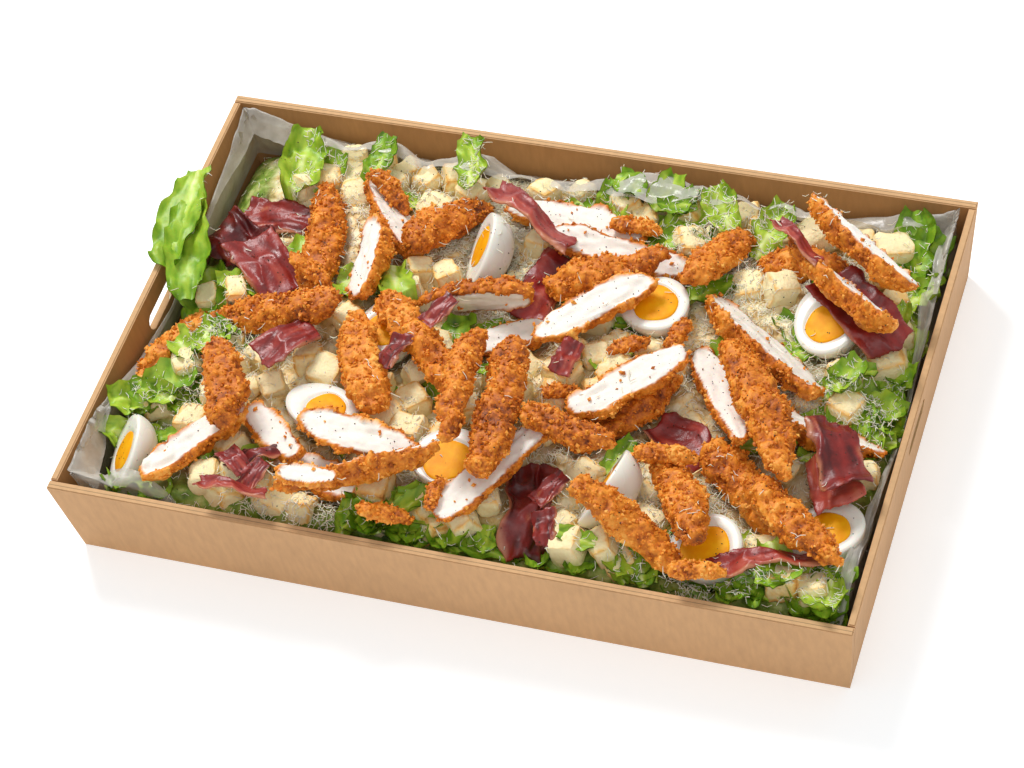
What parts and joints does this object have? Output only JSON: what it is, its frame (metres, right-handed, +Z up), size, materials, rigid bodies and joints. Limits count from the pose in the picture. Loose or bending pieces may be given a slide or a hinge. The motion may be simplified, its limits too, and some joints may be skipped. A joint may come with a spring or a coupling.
{
  "type": "catering tray of chicken caesar salad",
  "caption": "Long kraft board catering tray with hand slots and a film liner, heaped with caesar salad, crumbed chicken, egg halves and cured bacon.",
  "frame": {"origin": "centre of the tray's underside", "axes": "+X along the tray's long side, -Y towards its front, +Z up"},
  "size_m": [0.5598, 0.3698, 0.1287],
  "materials": {
    "kraft_board": "matt brown kraft board",
    "film": "thin clear film",
    "salad_leaf": "moist leaf, croutons and grated cheese",
    "breaded_crust": "rough golden crumb",
    "chicken_flesh": "moist cut meat",
    "egg_white": "smooth moist egg",
    "bacon_red": "oily cured meat"
  },
  "bodies": {
    "root": {"bacon_01": "bacon_red", "bacon_02": "bacon_red", "bacon_03": "bacon_red", "bacon_04": "bacon_red", "bacon_05": "bacon_red", "bacon_06": "bacon_red", "bacon_07": "bacon_red", "bacon_08": "bacon_red", "bacon_09": "bacon_red", "bacon_10": "bacon_red", "chicken_slice_01": "chicken_flesh", "chicken_slice_02": "chicken_flesh", "chicken_slice_03": "chicken_flesh", "chicken_slice_04": "chicken_flesh", "chicken_slice_05": "chicken_flesh", "chicken_slice_06": "chicken_flesh", "chicken_slice_07": "chicken_flesh", "chicken_slice_08": "chicken_flesh", "chicken_slice_09": "chicken_flesh", "chicken_slice_10": "chicken_flesh", "chicken_slice_11": "chicken_flesh", "chicken_slice_12": "chicken_flesh", "chicken_slice_13": "chicken_flesh", "chicken_slice_14": "chicken_flesh", "chicken_slice_15": "chicken_flesh", "chicken_slice_16": "chicken_flesh", "chicken_slice_17": "chicken_flesh", "chicken_slice_18": "chicken_flesh", "chicken_slice_19": "chicken_flesh", "chicken_strip_01": "breaded_crust", "chicken_strip_02": "breaded_crust", "chicken_strip_03": "breaded_crust", "chicken_strip_04": "breaded_crust", "chicken_strip_05": "breaded_crust", "chicken_strip_06": "breaded_crust", "chicken_strip_07": "breaded_crust", "chicken_strip_08": "breaded_crust", "chicken_strip_09": "breaded_crust", "chicken_strip_10": "breaded_crust", "chicken_strip_11": "breaded_crust", "chicken_strip_12": "breaded_crust", "chicken_strip_13": "breaded_crust", "chicken_strip_14": "breaded_crust", "chicken_strip_15": "breaded_crust", "chicken_strip_16": "breaded_crust", "chicken_strip_17": "breaded_crust", "chicken_strip_18": "breaded_crust", "egg_half_01": "egg_white", "egg_half_02": "egg_white", "egg_half_03": "egg_white", "egg_half_04": "egg_white", "egg_half_05": "egg_white", "egg_half_06": "egg_white", "egg_half_07": "egg_white", "egg_half_08": "egg_white", "egg_half_09": "egg_white", "egg_half_10": "egg_white", "film_liner": "film", "salad_heap": "salad_leaf", "tray": "kraft_board"}
  },
  "joints": []
}
